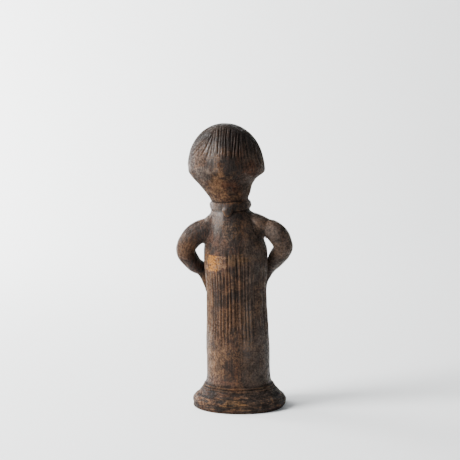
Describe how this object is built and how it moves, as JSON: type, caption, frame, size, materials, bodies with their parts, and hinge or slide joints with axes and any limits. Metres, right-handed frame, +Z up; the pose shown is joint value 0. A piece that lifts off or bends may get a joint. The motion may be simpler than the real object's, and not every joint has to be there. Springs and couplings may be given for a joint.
{
  "type": "haniwa figure",
  "caption": "Small hollow clay figure standing on a round ringed foot, arms akimbo, with a combed robe, rolled collar and bobbed hair.",
  "frame": {"origin": "on the standing surface, under the middle of the overall width and depth", "axes": "+Z up from the foot to the crown; the figure faces -Y and its left arm is on the +X side, so its back is towards +Y"},
  "size_m": [0.0893, 0.0718, 0.22],
  "materials": {
    "fired_clay": "dark brown burnished and rubbed clay, satin, with ochre wear"
  },
  "bodies": {
    "root": {"figure": "fired_clay"}
  },
  "joints": []
}
